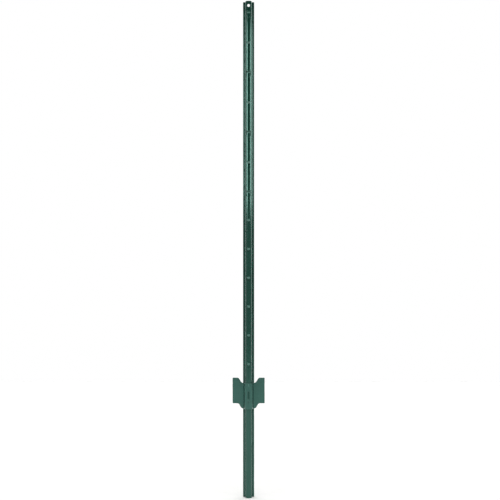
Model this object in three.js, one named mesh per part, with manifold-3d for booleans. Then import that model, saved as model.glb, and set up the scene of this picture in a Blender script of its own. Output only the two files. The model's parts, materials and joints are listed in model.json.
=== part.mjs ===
// A light-duty U-channel fence post: a rolled steel channel with bendable wire tabs lanced from its
// crown, and an anchor plate riveted across its lower part.
// Millimetres, +Z up. The crown, the closed side of the channel, faces -Y, and the flanges lie behind it.

import * as THREE from 'three';
import { mergeVertices } from 'three/addons/utils/BufferGeometryUtils.js';
import Module from 'manifold-3d';

const wasm = await Module();
wasm.setup();

// ---------------------------------------------------------------- driving dimensions

const postLength = 1219;
const sheet = 1.9; // thickness of the channel and of the plate
const gap = 0.3; // running clearance between neighbouring pieces

// Channel section, along the middle of the sheet, from the crown's centre to a flange's edge.
const channel = {
  depth: 22, // crown face to the rear edge of the flanges
  crownRadius: 12,
  crownTurn: 22,
  shoulderRadius: 3,
  wallAngle: 80.5, // 90 would be a wall square to the crown
  footRadius: 2.6,
  flangeAngle: 12, // the flanges are raked back by this much
  flangeRun: 2.95,
};

const topHole = { radius: 3.5, fromTop: 11.3 };

// Wire tabs: rooted at their upper end, tip down, each lanced from the crown.
const longTab = { width: 8.5, drop: 17, point: 3.6, standOff: 5, rampAngle: 55, bendRadius: 2.5 };
const shortTab = { width: 7, reach: 7, point: 2.2, raise: 40 };
const tipFlat = 1.2; // width left at the point of a tab
const tipCover = 0.2; // how far a tab's tip reaches past the lower end of its opening

const longTabRoots = { first: 1193.3, pitch: 146.6, count: 4 };
const upperShortTabRoots = { first: 1118.5, pitch: 146.6, count: 3 };
const lowerShortTabRoots = { first: 683.6, pitch: 70.56, count: 6 };

// Anchor plate: flat wings on both sides of a saddle that is pressed over the channel.
const plate = {
  width: 79,
  height: 63,
  wingTop: 294,
  drop: 12.6, // how much lower the saddle's edges lie than the wings' edges
  sweepOuter: 28, // the edge curve runs between these two distances from the middle
  sweepInner: 14,
  wingPlane: 16.95, // depth of the middle of the wings' sheet behind the crown's face
  wallAngle: 74,
  footRadius: 2.5,
  cornerRadius: 1.5,
};
const plateSlot = { centre: 252.1, height: 20, width: 4.6 };

// Rivets through the saddle and the crown.
const rivet = {
  headRadius: 3.25,
  headHeight: 1.6,
  rim: 0.5,
  shankRadius: 2,
  tailRadius: 2.6,
  tailHeight: 1.3,
};
const rivetTailStart = 2.7; // depth behind the crown's face where the set tail begins
const upperRivetHeight = 274.9;
const lowerRivetHeight = 237;
const lowerRivetBore = { radius: 1.6, depth: 1.5 };

// Fineness of the faceted surfaces.
const degreesPerFacet = 9;
const roundFacets = 32;
const curveSegments = 12;
const beadFacets = 8;
const domeFacets = 6;

// Depths behind the crown's face that straight cuts and prisms run between.
const throughCrown = [-4, 8];
const throughSaddle = [-10, 6];
const throughEverything = [-30, 30];

// ---------------------------------------------------------------- finishes

const greenCoat = { color: 0x3a5f56, roughness: 0.38, metalness: 0.1 };
const plateCoat = { color: 0x41685f, roughness: 0.42, metalness: 0.1 };

// ---------------------------------------------------------------- solids

function toSolid(geometry) {
  const bare = geometry.index ? geometry.toNonIndexed() : geometry.clone();
  bare.deleteAttribute('normal');
  bare.deleteAttribute('uv');
  const merged = mergeVertices(bare, 1e-4);
  return new wasm.Manifold(
    new wasm.Mesh({
      numProp: 3,
      vertProperties: new Float32Array(merged.attributes.position.array),
      triVerts: new Uint32Array(merged.index.array),
    }),
  );
}

function toGeometry(solid) {
  const mesh = solid.getMesh();
  const geometry = new THREE.BufferGeometry();
  geometry.setAttribute('position', new THREE.BufferAttribute(new Float32Array(mesh.vertProperties), 3));
  geometry.setIndex(new THREE.BufferAttribute(new Uint32Array(mesh.triVerts), 1));
  geometry.computeVertexNormals();
  return geometry;
}

function named(name, geometry, finish) {
  const mesh = new THREE.Mesh(geometry, new THREE.MeshStandardMaterial(finish));
  mesh.name = name;
  return mesh;
}

// ---------------------------------------------------------------- bent sheet

const radians = THREE.MathUtils.degToRad;

// Points along a centre line of straight runs and arcs, each with the heading there.
// A step is { run } or { turn, radius }, with turn in degrees and positive to the left.
function centreLine(x, y, headingDegrees, steps) {
  let heading = radians(headingDegrees);
  const points = [{ x, y, heading }];
  for (const step of steps) {
    if (step.run !== undefined) {
      x += step.run * Math.cos(heading);
      y += step.run * Math.sin(heading);
      points.push({ x, y, heading });
      continue;
    }
    const facets = Math.max(2, Math.ceil(Math.abs(step.turn) / degreesPerFacet));
    const side = Math.sign(step.turn) * step.radius;
    for (let i = 0; i < facets; i += 1) {
      const next = heading + radians(step.turn) / facets;
      x += side * (Math.sin(next) - Math.sin(heading));
      y += side * (Math.cos(heading) - Math.cos(next));
      heading = next;
      points.push({ x, y, heading });
    }
  }
  return points;
}

function offsetPoint(point, distance) {
  return new THREE.Vector2(
    point.x - distance * Math.sin(point.heading),
    point.y + distance * Math.cos(point.heading),
  );
}

// The outline of a strip of sheet that follows a centre line: out along one face, back along the other.
function stripOutline(line) {
  const right = line.map((point) => offsetPoint(point, -sheet / 2));
  const left = line.map((point) => offsetPoint(point, sheet / 2));
  return [...right, ...left.reverse()];
}

// A strip of sheet standing on the ground, with its section drawn in (x, y).
function standingStrip(line, height) {
  const section = new THREE.Shape(stripOutline(line));
  return new THREE.ExtrudeGeometry(section, { depth: height, bevelEnabled: false });
}

// A half line that starts square on the Y axis, joined to its mirror image.
function mirroredLine(half) {
  const other = half
    .slice(1)
    .reverse()
    .map((point) => ({ x: -point.x, y: point.y, heading: -point.heading }));
  return [...other, ...half];
}

// A prism with the outline (x, z) that runs along Y from one depth to another.
function depthPrism(shape, fromDepth, toDepth) {
  const depth = toDepth - fromDepth;
  const prism = new THREE.ExtrudeGeometry(shape, { depth, bevelEnabled: false, curveSegments });
  prism.rotateX(Math.PI / 2);
  prism.translate(0, toDepth, 0);
  return prism;
}

function depthCylinder(radius, height, fromDepth, toDepth) {
  const cylinder = new THREE.CylinderGeometry(radius, radius, toDepth - fromDepth, roundFacets);
  cylinder.translate(0, (fromDepth + toDepth) / 2, height);
  return cylinder;
}

// ---------------------------------------------------------------- channel

function channelLine() {
  const { crownRadius, crownTurn, shoulderRadius, wallAngle, footRadius, flangeAngle, flangeRun } = channel;
  const beforeWall = [
    { turn: crownTurn, radius: crownRadius },
    { turn: wallAngle - crownTurn, radius: shoulderRadius },
  ];
  const afterWall = [
    { turn: flangeAngle - wallAngle, radius: footRadius },
    { run: flangeRun },
  ];
  const unwalled = centreLine(0, sheet / 2, 0, [...beforeWall, ...afterWall]).at(-1);
  const rearEdge = unwalled.y + (sheet / 2) * Math.cos(unwalled.heading);
  const wallRun = (channel.depth - rearEdge) / Math.sin(radians(wallAngle));
  return mirroredLine(centreLine(0, sheet / 2, 0, [...beforeWall, { run: wallRun }, ...afterWall]));
}

// The front outline of a tab, from its root at the origin down to its point.
function tabOutline(width, top, drop, point) {
  const half = width / 2;
  return new THREE.Shape([
    new THREE.Vector2(-half, top),
    new THREE.Vector2(-half, point - drop),
    new THREE.Vector2(-tipFlat / 2, -drop),
    new THREE.Vector2(tipFlat / 2, -drop),
    new THREE.Vector2(half, point - drop),
    new THREE.Vector2(half, top),
  ]);
}

// The opening that a tab leaves in the crown, with clearance round the tab's root and sides.
function tabOpening(tab, drop, rootHeight) {
  const outline = tabOutline(tab.width + 2 * gap, sheet / 2 + gap, drop - tipCover, tab.point);
  const opening = depthPrism(outline, ...throughCrown);
  opening.translate(0, 0, rootHeight);
  return opening;
}

function postChannel() {
  let solid = toSolid(standingStrip(channelLine(), postLength));
  const topHoleHeight = postLength - topHole.fromTop;
  solid = solid.subtract(toSolid(depthCylinder(topHole.radius, topHoleHeight, ...throughCrown)));
  for (const height of heights(longTabRoots)) {
    solid = solid.subtract(toSolid(tabOpening(longTab, longTab.drop, height)));
  }
  for (const height of [...heights(upperShortTabRoots), ...heights(lowerShortTabRoots)]) {
    solid = solid.subtract(toSolid(tabOpening(shortTab, shortTabDrop(), height)));
  }
  for (const height of [upperRivetHeight, lowerRivetHeight]) {
    solid = solid.subtract(toSolid(depthCylinder(rivet.shankRadius + gap, height, ...throughCrown)));
  }
  return named('post_channel', toGeometry(solid), greenCoat);
}

// ---------------------------------------------------------------- wire tabs

function heights({ first, pitch, count }) {
  return Array.from({ length: count }, (_, i) => first - i * pitch);
}

// How far below its root the tip of a short tab hangs.
function shortTabDrop() {
  const raise = radians(shortTab.raise);
  return shortTab.reach * Math.cos(raise) + (sheet / 2) * Math.sin(raise);
}

// A tab from its side view: a strip that starts in a round bead on the bend line, drawn in (y, z)
// with the bend line at the origin and then given its width along X.
function tabFromSide(line, outline, width) {
  const bead = [];
  for (let i = 1; i < beadFacets; i += 1) {
    const angle = line[0].heading + Math.PI / 2 + (Math.PI * i) / beadFacets;
    bead.push(new THREE.Vector2((sheet / 2) * Math.cos(angle), (sheet / 2) * Math.sin(angle)));
  }
  const side = new THREE.Shape([...stripOutline(line), ...bead]);
  const strip = new THREE.ExtrudeGeometry(side, { depth: width, bevelEnabled: false });
  const sideToFrame = new THREE.Matrix4().makeBasis(
    new THREE.Vector3(0, 1, 0),
    new THREE.Vector3(0, 0, 1),
    new THREE.Vector3(1, 0, 0),
  );
  strip.applyMatrix4(sideToFrame);
  strip.translate(-width / 2, 0, 0);
  return toGeometry(toSolid(strip).intersect(toSolid(depthPrism(outline, ...throughEverything))));
}

// A long tab ramps out from the crown, then hangs parallel to it with room for a wire behind.
function longTabGeometry() {
  const { width, drop, point, standOff, rampAngle, bendRadius } = longTab;
  const ramp = radians(rampAngle);
  const reach = standOff + sheet; // between the middles of the crown's sheet and the tab's
  const rampRun = (reach - bendRadius * (1 - Math.cos(ramp))) / Math.sin(ramp);
  const hang = drop - rampRun * Math.cos(ramp) - bendRadius * Math.sin(ramp);
  const line = centreLine(0, 0, -90 - rampAngle, [
    { run: rampRun },
    { turn: rampAngle, radius: bendRadius },
    { run: hang },
  ]);
  return tabFromSide(line, tabOutline(width, sheet, drop, point), width);
}

// A short tab is a straight tooth.
function shortTabGeometry() {
  const { width, reach, point, raise } = shortTab;
  const line = centreLine(0, 0, -90 - raise, [{ run: reach }]);
  return tabFromSide(line, tabOutline(width, sheet, shortTabDrop(), point), width);
}

function tabRow(name, geometry, roots) {
  return roots.map((height, i) => {
    const tab = named(`${name}_${i + 1}`, geometry, greenCoat);
    tab.position.set(0, sheet / 2, height);
    return tab;
  });
}

// ---------------------------------------------------------------- anchor plate

const saddleFace = -gap - sheet; // depth of the saddle's front face at the middle

function saddleLine() {
  const innerShift = gap + sheet; // from the middle of the crown's sheet to the middle of the saddle's
  const crownRadius = channel.crownRadius + innerShift;
  const shoulderRadius = channel.shoulderRadius + innerShift;
  const beforeWall = [
    { turn: channel.crownTurn, radius: crownRadius },
    { turn: plate.wallAngle - channel.crownTurn, radius: shoulderRadius },
  ];
  const foot = { turn: -plate.wallAngle, radius: plate.footRadius };
  const middle = saddleFace + sheet / 2;
  const unwalled = centreLine(0, middle, 0, [...beforeWall, foot]).at(-1);
  const wall = { run: (plate.wingPlane - unwalled.y) / Math.sin(radians(plate.wallAngle)) };
  const wingStart = centreLine(0, middle, 0, [...beforeWall, wall, foot]).at(-1);
  const wing = { run: plate.width / 2 - wingStart.x };
  return mirroredLine(centreLine(0, middle, 0, [...beforeWall, wall, foot, wing]));
}

// The plate's front outline: both long edges dip in the same curve, so blanks nest without waste.
function plateOutline() {
  const { width, height, wingTop, drop, sweepOuter, sweepInner, cornerRadius } = plate;
  const half = width / 2;
  const sweepMiddle = (sweepOuter + sweepInner) / 2;
  const wingBottom = wingTop - height;
  const shape = new THREE.Shape();
  shape.moveTo(-half, wingTop - cornerRadius);
  shape.absarc(-half + cornerRadius, wingTop - cornerRadius, cornerRadius, Math.PI, Math.PI / 2, true);
  shape.lineTo(-sweepOuter, wingTop);
  shape.bezierCurveTo(-sweepMiddle, wingTop, -sweepMiddle, wingTop - drop, -sweepInner, wingTop - drop);
  shape.lineTo(sweepInner, wingTop - drop);
  shape.bezierCurveTo(sweepMiddle, wingTop - drop, sweepMiddle, wingTop, sweepOuter, wingTop);
  shape.absarc(half - cornerRadius, wingTop - cornerRadius, cornerRadius, Math.PI / 2, 0, true);
  shape.absarc(half - cornerRadius, wingBottom + cornerRadius, cornerRadius, 0, -Math.PI / 2, true);
  shape.lineTo(sweepOuter, wingBottom);
  shape.bezierCurveTo(sweepMiddle, wingBottom, sweepMiddle, wingBottom - drop, sweepInner, wingBottom - drop);
  shape.lineTo(-sweepInner, wingBottom - drop);
  shape.bezierCurveTo(-sweepMiddle, wingBottom - drop, -sweepMiddle, wingBottom, -sweepOuter, wingBottom);
  shape.absarc(-half + cornerRadius, wingBottom + cornerRadius, cornerRadius, -Math.PI / 2, -Math.PI, true);
  return shape;
}

function slotShape() {
  const radius = plateSlot.width / 2;
  const reach = plateSlot.height / 2 - radius;
  const shape = new THREE.Shape();
  shape.absarc(0, plateSlot.centre + reach, radius, 0, Math.PI, false);
  shape.absarc(0, plateSlot.centre - reach, radius, Math.PI, 2 * Math.PI, false);
  return shape;
}

function anchorPlate() {
  const blank = toSolid(standingStrip(saddleLine(), plate.wingTop + sheet));
  let solid = blank.intersect(toSolid(depthPrism(plateOutline(), ...throughEverything)));
  solid = solid.subtract(toSolid(depthPrism(slotShape(), ...throughSaddle)));
  for (const height of [upperRivetHeight, lowerRivetHeight]) {
    solid = solid.subtract(toSolid(depthCylinder(rivet.shankRadius + gap, height, ...throughSaddle)));
  }
  return named('anchor_plate', toGeometry(solid), plateCoat);
}

// ---------------------------------------------------------------- rivets

// A rivet turned about its own axis, which runs along Y: domed head, shank, set tail.
function rivetGeometry() {
  const { headRadius, headHeight, rim, shankRadius, tailRadius, tailHeight } = rivet;
  const underHead = saddleFace - gap;
  const domeHeight = headHeight - rim;
  const domeRadius = (headRadius ** 2 + domeHeight ** 2) / (2 * domeHeight);
  const domeHalfAngle = Math.asin(headRadius / domeRadius);
  const domeCentre = underHead - headHeight + domeRadius;
  const profile = [];
  for (let i = 0; i <= domeFacets; i += 1) {
    const angle = (domeHalfAngle * i) / domeFacets;
    profile.push(new THREE.Vector2(domeRadius * Math.sin(angle), domeCentre - domeRadius * Math.cos(angle)));
  }
  profile[0].x = 0;
  profile.push(
    new THREE.Vector2(headRadius, underHead),
    new THREE.Vector2(shankRadius, underHead),
    new THREE.Vector2(shankRadius, rivetTailStart),
    new THREE.Vector2(tailRadius, rivetTailStart),
    new THREE.Vector2(tailRadius, rivetTailStart + tailHeight),
    new THREE.Vector2(0, rivetTailStart + tailHeight),
  );
  return new THREE.LatheGeometry(profile, roundFacets);
}

function placedRivet(name, solid, height) {
  const mesh = named(name, toGeometry(solid), plateCoat);
  mesh.position.z = height;
  return mesh;
}

function rivets() {
  const plain = toSolid(rivetGeometry());
  const headTop = saddleFace - gap - rivet.headHeight;
  const bore = depthCylinder(lowerRivetBore.radius, 0, headTop - gap, headTop + lowerRivetBore.depth);
  return [
    placedRivet('upper_rivet', plain, upperRivetHeight),
    placedRivet('lower_rivet', plain.subtract(toSolid(bore)), lowerRivetHeight),
  ];
}

// ---------------------------------------------------------------- assembly

const post = new THREE.Group();
post.add(
  postChannel(),
  anchorPlate(),
  ...rivets(),
  ...tabRow('long_wire_tab', longTabGeometry(), heights(longTabRoots)),
  ...tabRow('short_wire_tab', shortTabGeometry(), [
    ...heights(upperShortTabRoots),
    ...heights(lowerShortTabRoots),
  ]),
);

// The origin is on the ground, under the middle of the post's depth from the long tabs to the flanges.
post.position.y = -(channel.depth - longTab.standOff - sheet) / 2;

const group = new THREE.Group();
group.add(post);

export default group;
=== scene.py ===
"""A green U-channel fence post with bendable wire tabs and a riveted anchor plate, finished in Blender.

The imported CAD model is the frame: its boxes and its joints place every piece. Lengths are in metres.
Angles are given in degrees and worked out in radians. +Z is up, and the crown, which is the closed side
of the channel, faces -Y.

Every sheet-metal piece is drawn flat, in sheet coordinates: across, up and through the thickness. It is
then laid on its bent form, with its sheared edges rounded over as paint rounds them.
"""

import json
import math

import bpy
import numpy as np
from mathutils import Matrix, Vector
from mathutils.geometry import delaunay_2d_cdt


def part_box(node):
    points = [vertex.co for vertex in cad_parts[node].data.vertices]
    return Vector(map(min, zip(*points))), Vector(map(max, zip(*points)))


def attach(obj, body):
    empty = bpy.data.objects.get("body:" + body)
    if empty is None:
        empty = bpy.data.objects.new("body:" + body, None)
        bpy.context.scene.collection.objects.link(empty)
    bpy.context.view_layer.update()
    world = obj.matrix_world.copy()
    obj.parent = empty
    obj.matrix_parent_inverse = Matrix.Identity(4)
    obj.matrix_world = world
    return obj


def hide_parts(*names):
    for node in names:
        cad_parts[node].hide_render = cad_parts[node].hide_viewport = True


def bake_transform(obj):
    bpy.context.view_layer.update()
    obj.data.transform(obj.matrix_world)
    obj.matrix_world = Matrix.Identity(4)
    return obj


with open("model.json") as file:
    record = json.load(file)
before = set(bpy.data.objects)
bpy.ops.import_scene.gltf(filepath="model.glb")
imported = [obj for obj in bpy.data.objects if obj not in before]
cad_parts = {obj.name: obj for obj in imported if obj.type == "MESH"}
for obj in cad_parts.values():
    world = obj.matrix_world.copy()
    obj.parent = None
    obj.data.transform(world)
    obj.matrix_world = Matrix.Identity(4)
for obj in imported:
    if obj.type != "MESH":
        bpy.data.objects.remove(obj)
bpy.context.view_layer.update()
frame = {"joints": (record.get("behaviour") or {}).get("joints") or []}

# ---------------------------------------------------------------- driving dimensions

MM = 0.001
SHEET = 1.9 * MM  # thickness of the channel and of the plate
EDGE_ROUND = 0.4 * MM  # how far paint and shearing round an edge over
GAP = 0.3 * MM  # clearance between the saddle and the crown

# The channel's section, along the middle of the sheet, from the crown's centre to a flange's edge.
CROWN_RADIUS = 12 * MM
CROWN_TURN = 22
SHOULDER_RADIUS = 3 * MM
WALL_ANGLE = 80.5
FOOT_RADIUS = 2.6 * MM
FLANGE_ANGLE = 12
FLANGE_RUN = 2.95 * MM

CHANNEL_CORNER = EDGE_ROUND * 2  # radius of the flat strip's corners
TOP_HOLE_RADIUS = 3.5 * MM
TOP_HOLE_FROM_TOP = 11.3 * MM

# Wire tabs. A tab leaves the crown on a bend whose arc has its middle on the tab's joint.
LONG_TAB = {
    "width": 8.5 * MM,
    "drop": 17 * MM,
    "point": 3.6 * MM,
    "raise": 55,
    "stand_off": 5 * MM,
    "bend_radius": 2.5 * MM,
}
SHORT_TAB = {"width": 7 * MM, "reach": 7 * MM, "point": 2.2 * MM, "raise": 40}
ROOT_RADIUS = 1.6 * MM
ROOT_SEAM = 1.7 * MM  # height above the joint where a tab's own mesh begins
TIP_FLAT = 1.2 * MM
TIP_COVER = 1.6 * MM  # how far a tab hangs past the lower end of its opening
TAB_CORNER = 0.5 * MM

# The anchor plate, measured as in the CAD source.
WING_HALF = 39.5 * MM
PLATE_HEIGHT = 63 * MM
PLATE_DROP = 12.6 * MM
SWEEP_OUTER = 28 * MM
SWEEP_INNER = 14 * MM
WING_PLANE = 16.95 * MM
SADDLE_WALL_ANGLE = 74
SADDLE_FOOT_RADIUS = 2.5 * MM
WING_CORNER = 1.5 * MM
SLOT_HALF_HEIGHT = 10 * MM
SLOT_HALF_WIDTH = 2.3 * MM
SLOT_BELOW_WINGS = 41.9 * MM
SLOT_END_RADIUS = SLOT_HALF_WIDTH * 0.98  # just short of a half circle, so that its corners stay apart

RIVET_HEAD_RADIUS = 3.25 * MM
RIVET_HEAD_HEIGHT = 1.6 * MM
RIVET_SHANK_RADIUS = 2 * MM
RIVET_TAIL_RADIUS = 2.6 * MM
RIVET_TAIL_HEIGHT = 1.3 * MM
RIVET_TAIL_START = 2.7 * MM
RIVET_BORE_RADIUS = 1.6 * MM
RIVET_BORE_DEPTH = 1.5 * MM
RIVET_RIM = EDGE_ROUND * 0.9
RIVET_MOUTH = RIVET_RIM * 0.9
RIVET_TOP_RADIUS = RIVET_HEAD_RADIUS * 0.78  # flat top of the bored rivet's head
RIVET_SIDE_DROP = RIVET_HEAD_HEIGHT * 0.6  # how far the bored rivet's head slopes down to its full width
RIVET_HOLE_RADIUS = RIVET_SHANK_RADIUS + GAP

# Fineness of the meshes.
DEGREES_PER_FACET = 7
LONGEST_RUN = 2.5 * MM
ROW_SPACING = 24 * MM
EDGE_STEPS = 3  # facets in the quarter turn from a face to its sheared edge
EDGE_ZONE = 3  # the mesh gives way to a rounded edge within this many times EDGE_ROUND
ROUND_FACETS = 48
SWEEP_FACETS = 20
DOME_FACETS = 10
CORNER_DEGREES = 15  # turn of one facet of a rounded corner
TAB_COLUMNS = 4  # columns from the middle of a short tab to its side
END_CLEAR = EDGE_ROUND * 2  # room between the end of a sheet and the next line of its mesh
HOLE_CLEAR = 1.5 * MM  # the same, above and below a hole
SLOT_CLEAR = SLOT_HALF_WIDTH + EDGE_ROUND * 1.5  # the plate's folds begin further out than this
SAME_PLACE = 0.001 * MM  # heights that differ by less are the same height
SEAM_MARGIN = 0.1 * MM  # a point counts as on a seam up to this far beyond a long tab's sides
SLIVER = 1e-8 * MM * MM  # triangles below half this area are dropped
FILL_TOLERANCE = 1e-6  # in millimetres
TINY = 1e-9  # stands in for a length of nothing when dividing
BISECTIONS = 40

# Coats: linear colour and roughness of each, and what they share.
POST_GREEN = (0.0055, 0.044, 0.0295, 1)
POST_ROUGHNESS = 0.14
PLATE_GREEN = (0.027, 0.088, 0.071, 1)
PLATE_ROUGHNESS = 0.22
COAT_GLOSS = 0.94
COAT_GLINT = (0.55, 1, 0.88, 1)
SOFT_NOISE = (0.3, 0.7)  # the part of a noise that is stretched over the range given with it
FINE_NOISE = (0.25, 0.75)
CLOUD_SCALE = 14
CLOUD_SHADES = (0.9, 1.1)
CLOUD_ROUGHNESS = 0.03
FLECK_SCALE = 260
FLECK_SHADES = (0.92, 1.08)
FLECK_ROUGHNESS = (-0.02, 0.03)
LINE_SCALE = 420
LINE_STRETCH = (1, 1, 0.02)
LINE_SHADES = (0.97, 1.03)
LINE_HEIGHT = 0.006 * MM
PEEL_SCALE = 420
PEEL_HEIGHT = 0.01 * MM
# darkening of cut edges: partly their thinner coat, partly painted shade standing in for the shadow at the
# tab tips and along the flange edges
EDGE_TONE_AND_PAINTED_SHADE = 0.6
EDGE_ROUGHNESS = 0.15
EDGE_GRAIN_SCALE = 1500
EDGE_GRAIN = 0.02 * MM

# Studio.
FLOOR_SIZE = 6
FLOOR_PALE = (0.86, 0.86, 0.85, 1)
FLOOR_GRAIN_SCALE = 30
FLOOR_SHADES = (0.97, 1.0)
FLOOR_ROUGHNESS = 0.9
FLOOR_GLOSS = 0.1
BACKDROP = 1.0  # what the camera sees, whichever way it looks
ROOM_LOW = 0.3  # the room in front of the post, low down and high up
ROOM_HIGH = 0.02
ROOM_LOW_TO = 0.035  # the change from low to high, by the Z of a direction of length 1
ROOM_HIGH_FROM = 0.06
ROOM_REAR = 1.7  # the room behind the post
ROOM_DIM_TO = 0.1  # the change from front to rear, by the Y of such a direction
ROOM_WHITE_FROM = 0.6
OVERHEAD = 2.6
OVERHEAD_SPREAD = 85
OVERHEAD_TILT = 28  # degrees in front of the zenith
STRIP_DISTANCE = 0.8
STRIP_MIDDLE = 1.01  # height of the middle of both strip lights
STRIP_HEIGHT = 0.56
RIGHT_STRIP = {"azimuth": 45, "width": 0.26, "brightness": 8}
LEFT_STRIP = {"azimuth": -35, "width": 0.18, "brightness": 11}

# Camera: level, in front of the crown.
SENSOR_WIDTH = 36
VIEW_DISTANCE = 3.4
VIEW_MARGIN = 1.005
VIEW_ASIDE = 3.4 * MM  # to the right of the post, which puts the post left of the middle
VIEW_RAISE = -1.2 * MM  # from the post's mid-height

# ---------------------------------------------------------------- places taken from the frame

channel_low, channel_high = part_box("post_channel")
_, plate_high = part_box("anchor_plate")
CROWN_FACE = channel_low.y
REAR_EDGE = channel_high.y
POST_TOP = channel_high.z
rivet_heights = {
    name: (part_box(name)[0].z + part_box(name)[1].z) / 2 for name in ("upper_rivet", "lower_rivet")
}
tab_joints = [(joint["child"], Vector(joint["pos_m"])) for joint in frame["joints"]]


def tab_shape(body):
    return LONG_TAB if body.startswith("long") else SHORT_TAB


# ---------------------------------------------------------------- bent lines


def arc(degrees, radius):
    """One step of a bent line: its length and its curvature, positive to the left."""
    return radius * math.radians(abs(degrees)), math.copysign(1 / radius, degrees)


def run(length):
    return length, 0.0


def travel(x, y, heading, curvature, length):
    end = heading + curvature * length
    if curvature:
        x += (math.sin(end) - math.sin(heading)) / curvature
        y += (math.cos(heading) - math.cos(end)) / curvature
    else:
        x += length * math.cos(heading)
        y += length * math.sin(heading)
    return x, y, end


class BentLine:
    """A line of arcs and straight runs, measured along its own length."""

    def __init__(self, x, y, steps):
        self.steps = []
        distance, heading = 0.0, 0.0
        for length, curvature in steps:
            self.steps.append((distance, length, x, y, heading, curvature))
            x, y, heading = travel(x, y, heading, curvature, length)
            distance += length
        self.length = distance

    def at(self, distance):
        """x, y and heading there."""
        for start, _, x, y, heading, curvature in reversed(self.steps):
            if distance >= start:
                break
        return travel(x, y, heading, curvature, distance - start)

    def stations(self):
        """Distances that follow the line closely: every few degrees or every few millimetres."""
        found = [0.0]
        for start, length, _, _, _, curvature in self.steps:
            by_turn = math.degrees(abs(curvature) * length) / DEGREES_PER_FACET
            count = max(1, math.ceil(by_turn), math.ceil(length / LONGEST_RUN))
            found += [start + length * (i + 1) / count for i in range(count)]
        return found


# ---------------------------------------------------------------- flat outlines


def rounded(corners):
    """A closed outline from (x, y, radius) corners, each rounded by its radius."""
    outline = []
    for i, (x, y, radius) in enumerate(corners):
        here = Vector((x, y))
        before = (Vector(corners[i - 1][:2]) - here).normalized()
        after = (Vector(corners[(i + 1) % len(corners)][:2]) - here).normalized()
        if radius == 0:
            outline.append(here)
            continue
        half = before.angle(after) / 2
        centre = here + (before + after).normalized() * (radius / math.sin(half))
        first = here + before * (radius / math.tan(half)) - centre
        last = here + after * (radius / math.tan(half)) - centre
        turn = first.angle_signed(last)
        count = max(2, math.ceil(math.degrees(abs(turn)) / CORNER_DEGREES))
        for k in range(count + 1):
            outline.append(centre + Matrix.Rotation(-turn * k / count, 2) @ first)
    return outline


def circle(x, y, radius):
    angles = [2 * math.pi * k / ROUND_FACETS for k in range(ROUND_FACETS)]
    return [Vector((x + radius * math.cos(a), y + radius * math.sin(a))) for a in angles]


def inside(points, outline):
    """Which of the points lie inside a closed outline, by counting the edges to their right."""
    result = np.zeros(len(points), bool)
    corners = np.array([tuple(p) for p in outline])
    for (x0, y0), (x1, y1) in zip(corners, np.roll(corners, -1, axis=0)):
        if y0 == y1:
            continue
        crosses = (points[:, 1] > min(y0, y1)) & (points[:, 1] <= max(y0, y1))
        at = x0 + (points[:, 1] - y0) * (x1 - x0) / (y1 - y0)
        result ^= crosses & (points[:, 0] < at)
    return result


def flat_blank(outline, holes, lines):
    """Triangles that fill an outline less its holes, with an edge along every given line."""
    points, edges = [], []
    for loop in [outline, *holes]:
        first = len(points)
        points += [Vector((p[0], p[1])) / MM for p in loop]
        edges += [(first + i, first + (i + 1) % len(loop)) for i in range(len(loop))]
    for start, end in lines:
        edges.append((len(points), len(points) + 1))
        points += [Vector(start) / MM, Vector(end) / MM]
    found, _, triangles, *_ = delaunay_2d_cdt(points, edges, [], 0, FILL_TOLERANCE)
    found = np.array([tuple(p) for p in found]) * MM
    triangles = np.array(triangles)
    centres = found[triangles].mean(axis=1)
    kept = inside(centres, outline)
    for hole in holes:
        kept &= ~inside(centres, hole)
    triangles = triangles[kept]
    used, renumbered = np.unique(triangles, return_inverse=True)
    triangles = renumbered.reshape(-1, 3)
    found = found[used]
    a, b, c = (found[triangles[:, i]] for i in range(3))
    area = (b - a)[:, 0] * (c - a)[:, 1] - (b - a)[:, 1] * (c - a)[:, 0]
    triangles[area < 0] = triangles[area < 0][:, ::-1]
    return found, triangles[np.abs(area) > SLIVER]


def boundary_normals(points, triangles):
    """Boundary edges with the material on their left, and at each boundary point the way out, mitred."""
    edges = {(t[i], t[(i + 1) % 3]) for t in triangles.tolist() for i in range(3)}
    edges = [(a, b) for a, b in edges if (b, a) not in edges]
    sides = {}
    for a, b in edges:
        along = points[b] - points[a]
        out = np.array([along[1], -along[0]]) / np.hypot(*along)
        sides.setdefault(a, []).append(out)
        sides.setdefault(b, []).append(out)
    return sorted(edges), {v: (n[0] + n[1]) / (1 + n[0] @ n[1]) for v, n in sides.items()}


def give_way(points, on_edge, loops, is_seam):
    """The points, with those near a rounded edge moved inwards, so that its inset line doesn't overtake
    them. Points on the edge keep their place, because the skins set them back themselves."""
    nearest = np.full(len(points), np.inf)
    away = np.zeros((len(points), 2))
    for loop in loops:
        for start, end in zip(loop, [*loop[1:], loop[0]]):
            if is_seam(*start) and is_seam(*end):
                continue
            start, along = np.array(start), np.array(end - start)
            share = np.clip((points - start) @ along / (along @ along), 0, 1)
            offset = points - start - share[:, None] * along
            distance = np.hypot(*offset.T)
            closer = distance < nearest
            nearest[closer] = distance[closer]
            away[closer] = offset[closer]
    zone = EDGE_ROUND * EDGE_ZONE
    moved = (nearest < zone) & (nearest > 0) & ~on_edge
    wanted = EDGE_ROUND + nearest[moved] * (zone - EDGE_ROUND) / zone
    result = points.copy()
    result[moved] += away[moved] * (wanted / nearest[moved] - 1)[:, None]
    return result


# ---------------------------------------------------------------- formed sheets


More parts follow.
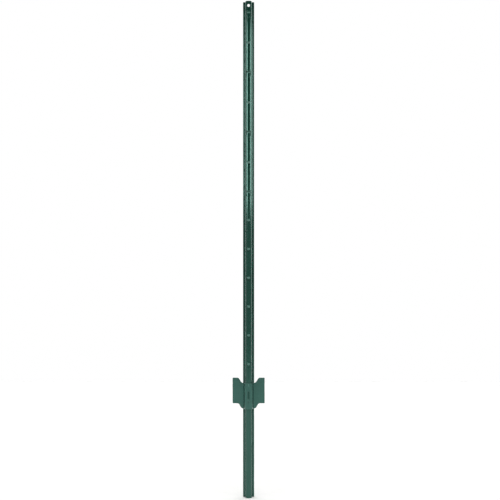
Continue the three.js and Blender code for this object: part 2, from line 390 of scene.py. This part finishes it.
def formed_sheet(name, outline, holes, lines, form, is_seam=lambda across, up: False):
    """A piece of sheet metal. form(across, up) gives a point on the middle of the sheet and the three
    directions there: across, up, and through the sheet from its front face. At a seam the edge stays
    square, so that the next piece continues it without a groove."""
    points, triangles = flat_blank(outline, holes, lines)
    edges, outward = boundary_normals(points, triangles)
    on_edge = np.isin(np.arange(len(points)), list(outward))
    points = give_way(points, on_edge, [outline, *holes], is_seam)
    vertices, normals, sheared = [], [], []

    def add(point, depth, inset, out, lean, edge):
        """A vertex, set back from the boundary by inset, whose normal leans from the face to the edge."""
        place = point - out * inset
        middle, across, up, through = form(place[0], place[1])
        face = math.copysign(1, depth) * math.cos(lean)
        to_edge = out / max(np.hypot(*out), TINY) * math.sin(lean)
        vertices.append(middle + through * depth)
        normals.append((across * to_edge[0] + up * to_edge[1] + through * face).normalized())
        sheared.append(edge)
        return len(vertices) - 1

    no_direction = np.zeros(2)
    faces, skins = [], {}
    for side in (-1, 1):
        depth = side * SHEET / 2
        skin = []
        for index, point in enumerate(points):
            out = outward.get(index, no_direction)
            inset = 0 if index not in outward or is_seam(*point) else EDGE_ROUND
            skin.append(add(point, depth, inset, out, 0, 0.0))
        skins[side] = skin
        for a, b, c in triangles.tolist():
            faces.append((skin[a], skin[b], skin[c])[:: -side])

    rims = {}
    for index, out in outward.items():
        front, rear = skins[-1][index], skins[1][index]
        if is_seam(*points[index]):
            rims[index] = [front] * (EDGE_STEPS + 1) + [rear] * (EDGE_STEPS + 1)
            continue
        rims[index] = [front]
        for side in (-1, 1):
            for step in range(1, EDGE_STEPS + 1):
                k = step if side < 0 else EDGE_STEPS + 1 - step
                lean = math.pi / 2 * k / EDGE_STEPS
                depth = side * (SHEET / 2 - EDGE_ROUND * (1 - math.cos(lean)))
                inset = EDGE_ROUND * (1 - math.sin(lean))
                rims[index].append(add(points[index], depth, inset, out, lean, 1.0))
        rims[index].append(rear)
    for a, b in edges:
        for k in range(2 * EDGE_STEPS + 1):
            ring = [rims[b][k], rims[a][k], rims[a][k + 1], rims[b][k + 1]]
            ring = [v for i, v in enumerate(ring) if v != ring[i - 1]]
            if len(ring) > 2:
                faces.append(ring)
    return smooth_object(name, vertices, faces, normals, sheared)


def smooth_object(name, vertices, faces, normals, sheared=None):
    """A mesh object with exact normals. Its sheared attribute is 1 on cut edges and 0 on rolled faces."""
    mesh = bpy.data.meshes.new(name)
    mesh.from_pydata([tuple(v) for v in vertices], [], faces)
    mesh.polygons.foreach_set("use_smooth", [True] * len(mesh.polygons))
    attribute = mesh.attributes.new("sheared", "FLOAT", "POINT")
    attribute.data.foreach_set("value", sheared or [0.0] * len(vertices))
    mesh.normals_split_custom_set_from_vertices([tuple(n) for n in normals])
    mesh.update()
    piece = bpy.data.objects.new(name, mesh)
    bpy.context.scene.collection.objects.link(piece)
    return piece


def folded_form(line):
    """The form of a sheet whose bends all run up the post: line is half its section, from the middle."""

    def form(across, up):
        x, y, heading = line.at(abs(across))
        side = math.copysign(1, across)
        sin, cos = side * math.sin(heading), math.cos(heading)
        return Vector((side * x, y, up)), Vector((cos, sin, 0)), Vector((0, 0, 1)), Vector((-sin, cos, 0))

    return form


def tab_form(path, seam_height):
    """The form of a tab: the crown's curve across, carried down a path that is measured from the seam."""

    def form(across, up):
        down, out, tilt = path.at(-up)
        upward = Vector((0, math.sin(tilt), math.cos(tilt)))
        rearward = Vector((0, math.cos(tilt), -math.sin(tilt)))
        turn = across / CROWN_RADIUS
        sideways = Vector((1, 0, 0))
        middle = Vector((0, CROWN_FACE + SHEET / 2 - out, seam_height - down))
        middle += sideways * CROWN_RADIUS * math.sin(turn) + rearward * CROWN_RADIUS * (1 - math.cos(turn))
        along = sideways * math.cos(turn) + rearward * math.sin(turn)
        through = rearward * math.cos(turn) - sideways * math.sin(turn)
        return middle, along, upward, through

    return form


# ---------------------------------------------------------------- channel


def channel_line():
    before = [arc(CROWN_TURN, CROWN_RADIUS), arc(WALL_ANGLE - CROWN_TURN, SHOULDER_RADIUS)]
    after = [arc(FLANGE_ANGLE - WALL_ANGLE, FOOT_RADIUS), run(FLANGE_RUN)]
    middle = CROWN_FACE + SHEET / 2
    unwalled = BentLine(0, middle, before + after)
    _, y, heading = unwalled.at(unwalled.length)
    rear_edge = y + SHEET / 2 * math.cos(heading)
    wall = run((REAR_EDGE - rear_edge) / math.sin(math.radians(WALL_ANGLE)))
    return BentLine(0, middle, [*before, wall, *after])


def tab_half_widths():
    return LONG_TAB["width"] / 2, SHORT_TAB["width"] / 2


def crown_columns():
    """Columns of the crown, shared by the channel and its tabs so that their seams match point by point."""
    long_half, short_half = tab_half_widths()
    inner = [short_half * k / TAB_COLUMNS for k in range(1, TAB_COLUMNS)]
    return [0.0] + [side * c for c in (*inner, short_half, long_half) for side in (-1, 1)]


def tab_opening(shape, joint_height, blank_length):
    """What a tab leaves in the crown: its own outline, less the reach of its tip past the lower end."""
    half = shape["width"] / 2
    bottom = joint_height + ROOT_SEAM - blank_length
    return rounded(
        [
            (half, joint_height + ROOT_SEAM - EDGE_ROUND, 0),
            (half, joint_height + ROOT_SEAM, 0),
            (-half, joint_height + ROOT_SEAM, 0),
            (-half, joint_height + ROOT_SEAM - EDGE_ROUND, 0),
            (-half, bottom + shape["point"], TAB_CORNER),
            (-TIP_FLAT / 2, bottom, TAB_CORNER / 2),
            (TIP_FLAT / 2, bottom, TAB_CORNER / 2),
            (half, bottom + shape["point"], TAB_CORNER),
        ]
    )


def build_channel():
    line = channel_line()
    half, top = line.length, POST_TOP
    crown_edge = tab_half_widths()[0] + EDGE_ROUND
    folds = [s for s in line.stations()[1:-1] if s > crown_edge + EDGE_ROUND / 2 and half - s > EDGE_ROUND]
    columns = crown_columns() + [side * s for s in folds for side in (-1, 1)]
    corners = [(-half, 0), (half, 0), (half, top), (-half, top)]
    outline = rounded([(across, up, CHANNEL_CORNER) for across, up in corners])
    holes = [circle(0, top - TOP_HOLE_FROM_TOP, TOP_HOLE_RADIUS)]
    holes += [circle(0, height, RIVET_HOLE_RADIUS) for height in rivet_heights.values()]
    seams = []
    for body, joint in tab_joints:
        shape = tab_shape(body)
        visible_drop = ROOT_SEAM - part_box(body)[0].z + joint.z - TIP_COVER
        holes.append(tab_opening(shape, joint.z, visible_drop))
        seams.append(joint.z + ROOT_SEAM)
    heights = sorted({extreme(hole) + margin for hole in holes for extreme, margin in HOLE_MARGINS})
    rows = fill_between([END_CLEAR, *heights, top - END_CLEAR], ROW_SPACING)
    lines = [((c, -MM), (c, top + MM)) for c in columns]
    lines += [((-half - MM, row), (half + MM, row)) for row in rows]

    def is_seam(across, up):
        on_tab = abs(across) < tab_half_widths()[0] + SEAM_MARGIN
        return on_tab and min(abs(up - seam) for seam in seams) < SAME_PLACE

    piece = formed_sheet("channel", outline, holes, lines, folded_form(line), is_seam)
    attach(piece, "post")
    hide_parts("post_channel")
    return piece


def lowest(outline):
    return min(p[1] for p in outline)


def highest(outline):
    return max(p[1] for p in outline)


HOLE_MARGINS = ((lowest, -HOLE_CLEAR), (highest, HOLE_CLEAR))


def fill_between(values, spacing):
    """The values, with evenly spaced ones added wherever two neighbours lie further apart than spacing."""
    filled = [values[0]]
    for low, high in zip(values, values[1:]):
        count = max(1, math.ceil((high - low) / spacing))
        filled += [low + (high - low) * (i + 1) / count for i in range(count)]
    return filled


# ---------------------------------------------------------------- wire tabs


def tab_path(shape):
    """The tab's line seen from the side, from its seam on the crown: x is down and y is out."""
    bend = arc(shape["raise"], ROOT_RADIUS)
    tangent = ROOT_RADIUS * math.tan(math.radians(shape["raise"]) / 2)
    lead = run(ROOT_SEAM - tangent)
    if "reach" in shape:
        return BentLine(0, 0, [lead, bend, run(shape["reach"] - tangent)])
    tilt = math.radians(shape["raise"])
    radius = shape["bend_radius"]
    ramp = (shape["stand_off"] + SHEET - radius * (1 - math.cos(tilt))) / math.sin(tilt)
    hang = shape["drop"] - ramp * math.cos(tilt) - radius * math.sin(tilt)
    return BentLine(0, 0, [lead, bend, run(ramp - tangent), arc(-shape["raise"], radius), run(hang)])


def build_tab(body, joint):
    shape = tab_shape(body)
    path = tab_path(shape)
    half, end = shape["width"] / 2, -path.length
    outline = rounded(
        [
            (half, -EDGE_ROUND, 0),
            (half, 0, 0),
            (-half, 0, 0),
            (-half, -EDGE_ROUND, 0),
            (-half, end + shape["point"], TAB_CORNER),
            (-TIP_FLAT / 2, end, TAB_CORNER / 2),
            (TIP_FLAT / 2, end, TAB_CORNER / 2),
            (half, end + shape["point"], TAB_CORNER),
        ]
    )
    columns = [c for c in crown_columns() if abs(c) < half - EDGE_ROUND / 2]
    rows = [-s for s in path.stations()[1:-1]]
    lines = [((c, MM), (c, end - MM)) for c in columns]
    lines += [((-half - MM, row), (half + MM, row)) for row in rows if row - end > END_CLEAR]

    def is_seam(across, up):
        return abs(up) < SAME_PLACE

    form = tab_form(path, joint.z + ROOT_SEAM)
    piece = formed_sheet(body.replace("wire_tab", "tab_metal"), outline, [], lines, form, is_seam)
    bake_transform(piece)
    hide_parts(body)
    return piece


# ---------------------------------------------------------------- anchor plate


def saddle_line():
    before = [
        arc(CROWN_TURN, CROWN_RADIUS + GAP + SHEET),
        arc(SADDLE_WALL_ANGLE - CROWN_TURN, SHOULDER_RADIUS + GAP + SHEET),
    ]
    foot = arc(-SADDLE_WALL_ANGLE, SADDLE_FOOT_RADIUS)
    middle = CROWN_FACE - GAP - SHEET / 2
    unwalled = BentLine(0, middle, [*before, foot])
    _, y, _ = unwalled.at(unwalled.length)
    wall = run((CROWN_FACE + WING_PLANE - y) / math.sin(math.radians(SADDLE_WALL_ANGLE)))
    bent = BentLine(0, middle, [*before, wall, foot])
    x, _, _ = bent.at(bent.length)
    return BentLine(0, middle, [*before, wall, foot, run(WING_HALF - x)])


def across_at(line, x):
    """The distance along a bent line at which it reaches x."""
    low, high = 0.0, line.length
    for _ in range(BISECTIONS):
        middle = (low + high) / 2
        low, high = (middle, high) if line.at(middle)[0] < x else (low, middle)
    return low


def plate_edge(line, height):
    """One long edge of the plate, left to right: a wing, the sweep down to the saddle, and back up."""
    outer, inner = SWEEP_OUTER, SWEEP_INNER
    middle = (outer + inner) / 2
    sweep = []
    for k in range(SWEEP_FACETS + 1):
        t = k / SWEEP_FACETS
        x = outer * (1 - t) ** 3 + 3 * middle * (1 - t) * t + inner * t**3
        dip = PLATE_DROP * (3 * t * t - 2 * t**3)
        sweep.append((across_at(line, x), height - dip))
    return [(-s, z) for s, z in sweep] + [(s, z) for s, z in reversed(sweep)]


def build_plate():
    line = saddle_line()
    end, top = line.length, plate_high.z
    bottom = top - PLATE_HEIGHT
    upper = plate_edge(line, top)
    lower = plate_edge(line, bottom)
    corners = [(-end, bottom, WING_CORNER), *((s, z, 0) for s, z in lower), (end, bottom, WING_CORNER)]
    corners += [(end, top, WING_CORNER), *((s, z, 0) for s, z in reversed(upper)), (-end, top, WING_CORNER)]
    outline = rounded(corners)
    slot_middle = top - SLOT_BELOW_WINGS
    slot = [
        (side * SLOT_HALF_WIDTH, slot_middle + lift * SLOT_HALF_HEIGHT, SLOT_END_RADIUS)
        for side, lift in ((-1, -1), (1, -1), (1, 1), (-1, 1))
    ]
    holes = [rounded(slot)] + [circle(0, z, RIVET_HOLE_RADIUS) for z in rivet_heights.values()]
    folds = [s for s in line.stations()[1:-1] if s > SLOT_CLEAR and end - s > END_CLEAR]
    columns = [0.0] + [side * s for s in (SLOT_HALF_WIDTH / 2, *folds) for side in (-1, 1)]
    kept_rows = [bottom - PLATE_DROP + END_CLEAR, bottom, top - PLATE_DROP, top - END_CLEAR]
    rows = fill_between(kept_rows, PLATE_DROP / 2)
    lines = [((c, bottom - PLATE_DROP - MM), (c, top + MM)) for c in columns]
    lines += [((-end - MM, row), (end + MM, row)) for row in rows]
    piece = formed_sheet("plate", outline, holes, lines, folded_form(line))
    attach(piece, "post")
    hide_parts("anchor_plate")
    return piece


# ---------------------------------------------------------------- rivets


def turned(name, profile, height):
    """A solid turned about a line along Y at that height. The profile is (radius, y, corner radius) points
    that start and end on the line, front first."""
    outline = rounded(profile)
    front, rear, rim = outline[0].y, outline[-1].y, outline[1:-1]
    vertices = [(0, front, height), (0, rear, height)]
    for k in range(ROUND_FACETS):
        angle = 2 * math.pi * k / ROUND_FACETS
        vertices += [(p.x * math.cos(angle), p.y, height + p.x * math.sin(angle)) for p in rim]
    count = len(rim)
    faces = []
    for k in range(ROUND_FACETS):
        here = 2 + k * count
        following = 2 + (k + 1) % ROUND_FACETS * count
        faces.append((0, here, following))
        faces.append((1, following + count - 1, here + count - 1))
        faces += [(here + i, here + i + 1, following + i + 1, following + i) for i in range(count - 1)]
    mesh = bpy.data.meshes.new(name)
    mesh.from_pydata(vertices, [], faces)
    mesh.polygons.foreach_set("use_smooth", [True] * len(mesh.polygons))
    mesh.attributes.new("sheared", "FLOAT", "POINT")
    piece = bpy.data.objects.new(name, mesh)
    bpy.context.scene.collection.objects.link(piece)
    piece.modifiers.new("even_faces", "WEIGHTED_NORMAL")
    return piece


def rivet_profile(bored):
    """Head, shank and set tail of a rivet. The bored one is a tube at its head."""
    under_head = CROWN_FACE - GAP - SHEET
    top = under_head - RIVET_HEAD_HEIGHT
    if bored:
        floor = top + RIVET_BORE_DEPTH
        head = [
            (0, floor, 0),
            (RIVET_BORE_RADIUS, floor, RIVET_RIM),
            (RIVET_BORE_RADIUS, top, RIVET_MOUTH),
            (RIVET_TOP_RADIUS, top, RIVET_RIM),
            (RIVET_HEAD_RADIUS, top + RIVET_SIDE_DROP, RIVET_RIM),
        ]
    else:
        head = [(0, top, 0)]
        for k in range(1, DOME_FACETS + 1):
            angle = math.pi / 2 * k / DOME_FACETS
            radius = RIVET_HEAD_RADIUS * math.sin(angle)
            depth = (RIVET_HEAD_HEIGHT - RIVET_RIM) * (1 - math.cos(angle))
            head.append((radius, top + depth, 0))
    tail_start = CROWN_FACE + RIVET_TAIL_START
    tail_end = tail_start + RIVET_TAIL_HEIGHT
    return head + [
        (RIVET_HEAD_RADIUS, under_head, RIVET_RIM / 2),
        (RIVET_SHANK_RADIUS, under_head, 0),
        (RIVET_SHANK_RADIUS, tail_start, 0),
        (RIVET_TAIL_RADIUS, tail_start, RIVET_RIM / 2),
        (RIVET_TAIL_RADIUS, tail_end, RIVET_RIM),
        (0, tail_end, 0),
    ]


def build_rivets():
    made = []
    for node, height in rivet_heights.items():
        piece = turned(node + "_turned", rivet_profile(node == "lower_rivet"), height)
        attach(piece, "post")
        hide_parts(node)
        made.append(piece)
    return made


# ---------------------------------------------------------------- materials


class Nodes:
    """Short calls for building a node tree."""

    def __init__(self, tree):
        self.tree = tree

    def add(self, kind, settings=(), **inputs):
        node = self.tree.nodes.new(kind)
        for key, value in dict(settings).items():
            setattr(node, key, value)
        for key, value in inputs.items():
            self.feed(node.inputs[key.replace("_", " ")], value)
        return node

    def feed(self, socket, value):
        if isinstance(value, bpy.types.NodeSocket):
            self.tree.links.new(value, socket)
        else:
            socket.default_value = value

    def noise(self, coordinates, scale, detail=2.0, roughness=0.5):
        made = self.add("ShaderNodeTexNoise", Vector=coordinates, Scale=scale)
        self.feed(made.inputs["Detail"], detail)
        self.feed(made.inputs["Roughness"], roughness)
        return made.outputs["Fac"]

    def remap(self, value, low, high, to_low, to_high, smooth=False):
        kind = "SMOOTHSTEP" if smooth else "LINEAR"
        made = self.add("ShaderNodeMapRange", {"interpolation_type": kind}, Value=value)
        limits = {"From Min": low, "From Max": high, "To Min": to_low, "To Max": to_high}
        for key, number in limits.items():
            self.feed(made.inputs[key], number)
        return made.outputs["Result"]

    def math(self, operation, a, b):
        made = self.add("ShaderNodeMath", {"operation": operation})
        self.feed(made.inputs[0], a)
        self.feed(made.inputs[1], b)
        return made.outputs[0]

    def mix(self, factor, a, b, blend="MIX"):
        made = self.add("ShaderNodeMix", {"data_type": "RGBA", "blend_type": blend})
        self.feed(made.inputs["Factor"], factor)
        self.feed(made.inputs["A"], a)
        self.feed(made.inputs["B"], b)
        return made.outputs["Result"]


def painted_steel(name, colour, gloss_roughness):
    """Powder coat on steel: orange peel, soft mottling, rolling lines up the post, and cut edges darkened
    partly for their thinner coat and partly as painted shade.
    """
    material = bpy.data.materials.new(name)
    material.use_nodes = True
    nodes = Nodes(material.node_tree)
    shader = material.node_tree.nodes["Principled BSDF"]
    place = nodes.add("ShaderNodeTexCoord").outputs["Object"]
    stretched = nodes.add("ShaderNodeMapping", Vector=place, Scale=LINE_STRETCH).outputs[0]
    edge = nodes.add("ShaderNodeAttribute", {"attribute_name": "sheared"}).outputs["Fac"]

    clouds = nodes.noise(place, CLOUD_SCALE, detail=3)
    flecks = nodes.noise(place, FLECK_SCALE, detail=3, roughness=0.6)
    lines = nodes.noise(stretched, LINE_SCALE, detail=4, roughness=0.65)

    shade = nodes.remap(clouds, *SOFT_NOISE, *CLOUD_SHADES)
    shade = nodes.math("MULTIPLY", shade, nodes.remap(flecks, *FINE_NOISE, *FLECK_SHADES))
    shade = nodes.math("MULTIPLY", shade, nodes.remap(lines, *SOFT_NOISE, *LINE_SHADES))
    # darker cut edges: the thinner coat there, plus painted shade standing in for the shadow at the tab
    # tips and flange edges
    shade = nodes.math("MULTIPLY", shade, nodes.remap(edge, 0, 1, 1, EDGE_TONE_AND_PAINTED_SHADE))
    tint = nodes.add("ShaderNodeCombineColor", Red=shade, Green=shade, Blue=shade).outputs[0]
    nodes.feed(shader.inputs["Base Color"], nodes.mix(1.0, colour, tint, "MULTIPLY"))

    smoothest = gloss_roughness - CLOUD_ROUGHNESS
    roughest = gloss_roughness + CLOUD_ROUGHNESS
    rough = nodes.remap(clouds, *SOFT_NOISE, smoothest, roughest)
    rough = nodes.math("ADD", rough, nodes.remap(flecks, *FINE_NOISE, *FLECK_ROUGHNESS))
    rough = nodes.math("ADD", rough, nodes.remap(edge, 0, 1, 0, EDGE_ROUGHNESS))
    nodes.feed(shader.inputs["Roughness"], rough)

    peel = nodes.math("MULTIPLY", nodes.noise(place, PEEL_SCALE, detail=1.5), PEEL_HEIGHT)
    height = nodes.math("ADD", peel, nodes.math("MULTIPLY", lines, LINE_HEIGHT))
    scratch = nodes.math("MULTIPLY", nodes.noise(place, EDGE_GRAIN_SCALE, detail=3), EDGE_GRAIN)
    height = nodes.math("ADD", height, nodes.math("MULTIPLY", scratch, edge))
    bump = nodes.add("ShaderNodeBump", Strength=1.0, Distance=1.0, Height=height)
    nodes.feed(shader.inputs["Normal"], bump.outputs["Normal"])
    shader.inputs["Specular IOR Level"].default_value = COAT_GLOSS
    shader.inputs["Specular Tint"].default_value = COAT_GLINT
    return material


def dress(piece, material):
    piece.data.materials.clear()
    piece.data.materials.append(material)


# ---------------------------------------------------------------- studio


def pale_floor():
    """A plain pale floor round the post."""
    bpy.ops.mesh.primitive_plane_add(size=FLOOR_SIZE, location=(0, 0, 0))
    floor = bpy.context.object
    floor.name = "floor"
    material = bpy.data.materials.new("floor_paint")
    material.use_nodes = True
    nodes = Nodes(material.node_tree)
    place = nodes.add("ShaderNodeTexCoord").outputs["Object"]
    grain = nodes.remap(nodes.noise(place, FLOOR_GRAIN_SCALE, detail=4), *SOFT_NOISE, *FLOOR_SHADES)
    tint = nodes.add("ShaderNodeCombineColor", Red=grain, Green=grain, Blue=grain).outputs[0]
    shader = material.node_tree.nodes["Principled BSDF"]
    nodes.feed(shader.inputs["Base Color"], nodes.mix(1.0, FLOOR_PALE, tint, "MULTIPLY"))
    nodes.feed(shader.inputs["Roughness"], FLOOR_ROUGHNESS)
    nodes.feed(shader.inputs["Specular IOR Level"], FLOOR_GLOSS)
    floor.data.materials.append(material)


def studio_world():
    """A white backdrop. What lights the post and shows in its gloss is white behind it and dim in front,
    and in front it is darker high up than low down."""
    world = bpy.data.worlds.new("studio")
    bpy.context.scene.world = world
    world.use_nodes = True
    nodes = Nodes(world.node_tree)
    towards = nodes.add("ShaderNodeTexCoord").outputs["Generated"]
    parts = nodes.add("ShaderNodeSeparateXYZ", Vector=towards).outputs
    front = nodes.remap(parts["Z"], ROOM_LOW_TO, ROOM_HIGH_FROM, ROOM_LOW, ROOM_HIGH, smooth=True)
    strength = nodes.remap(parts["Y"], ROOM_DIM_TO, ROOM_WHITE_FROM, front, ROOM_REAR, smooth=True)
    seen = nodes.add("ShaderNodeLightPath").outputs["Is Camera Ray"]
    strength = nodes.remap(seen, 0, 1, strength, BACKDROP)
    background = world.node_tree.nodes["Background"]
    nodes.feed(background.inputs["Color"], (1, 1, 1, 1))
    nodes.feed(background.inputs["Strength"], strength)


def strip_light(name, azimuth, width, brightness):
    """A tall soft panel that faces the post, azimuth degrees round from the front towards +X. It shows in
    the coat's gloss only."""
    light = bpy.data.lights.new(name, "AREA")
    light.shape = "RECTANGLE"
    light.size = width
    light.size_y = STRIP_HEIGHT
    light.energy = brightness * math.pi * width * STRIP_HEIGHT
    panel = bpy.data.objects.new(name, light)
    bpy.context.scene.collection.objects.link(panel)
    angle = math.radians(azimuth)
    aim = Vector((-math.sin(angle), math.cos(angle), 0))
    panel.location = Vector((0, 0, STRIP_MIDDLE)) - aim * STRIP_DISTANCE
    panel.rotation_euler = aim.to_track_quat("-Z", "Y").to_euler()
    panel.visible_camera = False
    panel.visible_diffuse = False


def overhead_light():
    light = bpy.data.lights.new("overhead", "SUN")
    light.energy = OVERHEAD
    light.angle = math.radians(OVERHEAD_SPREAD)
    lamp = bpy.data.objects.new("overhead", light)
    lamp.rotation_euler = (math.radians(OVERHEAD_TILT), 0, 0)
    bpy.context.scene.collection.objects.link(lamp)


def camera():
    lens = bpy.data.cameras.new("camera")
    eye = bpy.data.objects.new("camera", lens)
    bpy.context.scene.collection.objects.link(eye)
    seen = POST_TOP * VIEW_MARGIN
    lens.sensor_width = SENSOR_WIDTH
    lens.lens = lens.sensor_width * VIEW_DISTANCE / seen
    eye.location = (VIEW_ASIDE, CROWN_FACE - VIEW_DISTANCE, POST_TOP / 2 + VIEW_RAISE)
    eye.rotation_euler = (math.radians(90), 0, 0)
    bpy.context.scene.camera = eye
    bpy.context.scene.view_settings.view_transform = "Standard"


# ---------------------------------------------------------------- the whole scene

post_coat = painted_steel("post_coat", POST_GREEN, POST_ROUGHNESS)
plate_coat = painted_steel("plate_coat", PLATE_GREEN, PLATE_ROUGHNESS)
dress(build_channel(), post_coat)
for tab_body, tab_joint in tab_joints:
    dress(build_tab(tab_body, tab_joint), post_coat)
dress(build_plate(), plate_coat)
for turned_rivet in build_rivets():
    dress(turned_rivet, plate_coat)

pale_floor()
studio_world()
overhead_light()
strip_light("right_strip", **RIGHT_STRIP)
strip_light("left_strip", **LEFT_STRIP)
camera()
